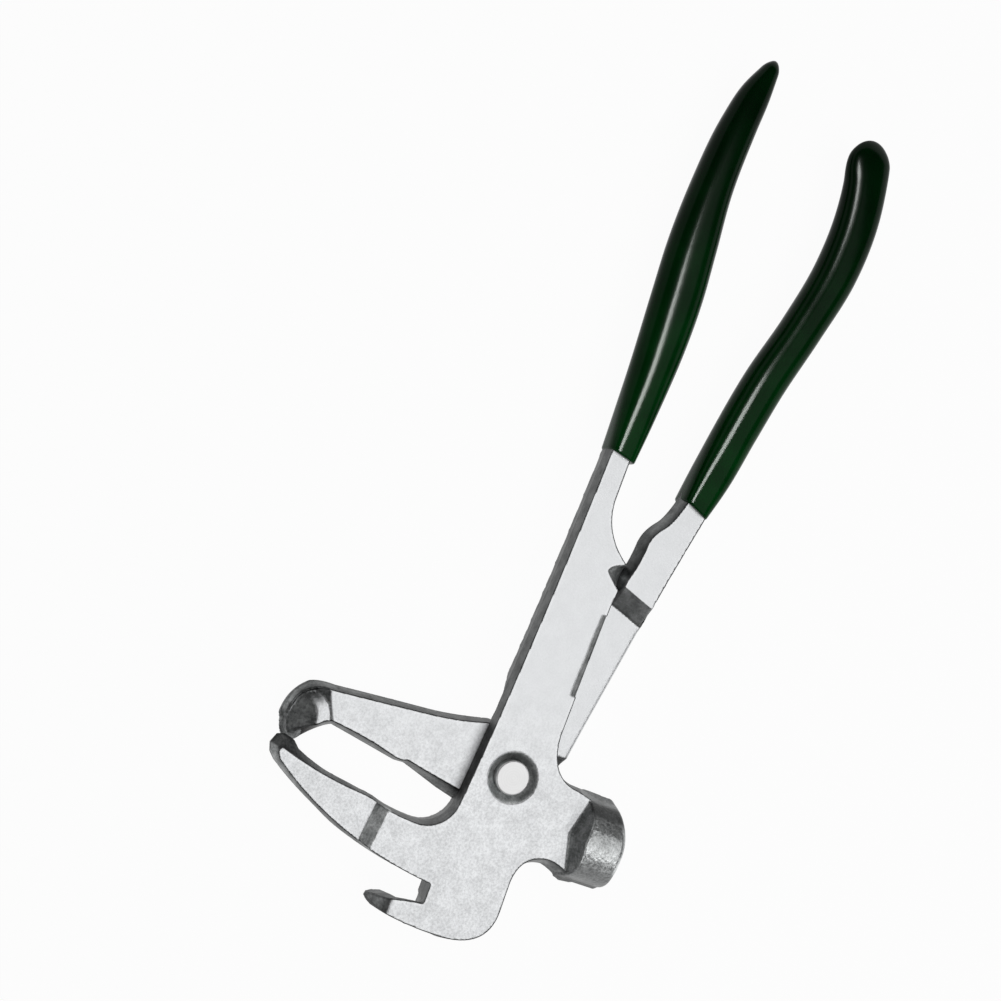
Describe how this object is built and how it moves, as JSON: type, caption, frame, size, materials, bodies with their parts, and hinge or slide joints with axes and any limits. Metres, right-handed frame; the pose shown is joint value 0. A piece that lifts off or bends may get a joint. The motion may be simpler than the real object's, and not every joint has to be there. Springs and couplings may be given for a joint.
{
  "type": "wheel weight pliers",
  "caption": "Lap-joint pliers with a side hammer, a pry hook, long jaws that close on a clip-on wheel weight and two dipped grips.",
  "frame": {"origin": "on the pivot axis, at the joint's flat back face", "axes": "+X along the levers to the grips, +Y to the jaw tips, +Z along the pivot axis out of the front face"},
  "size_m": [0.259, 0.1109, 0.023],
  "materials": {
    "steel": "shot-blasted and plated forging, bright faces and grey drafted edges",
    "pin_steel": "ground flush, satin",
    "grip_vinyl": "dipped vinyl, dark green, glossy"
  },
  "bodies": {
    "front": {"front_half": "steel", "pivot_pin": "pin_steel", "front_grip": "grip_vinyl"},
    "rear": {"rear_half": "steel", "rear_grip": "grip_vinyl"}
  },
  "joints": [
    {"name": "pivot", "type": "hinge", "parent": "front", "child": "rear", "pos_m": [0, 0, 0.0045], "axis": [0, 0, -1], "range_deg": [0, 35]}
  ]
}
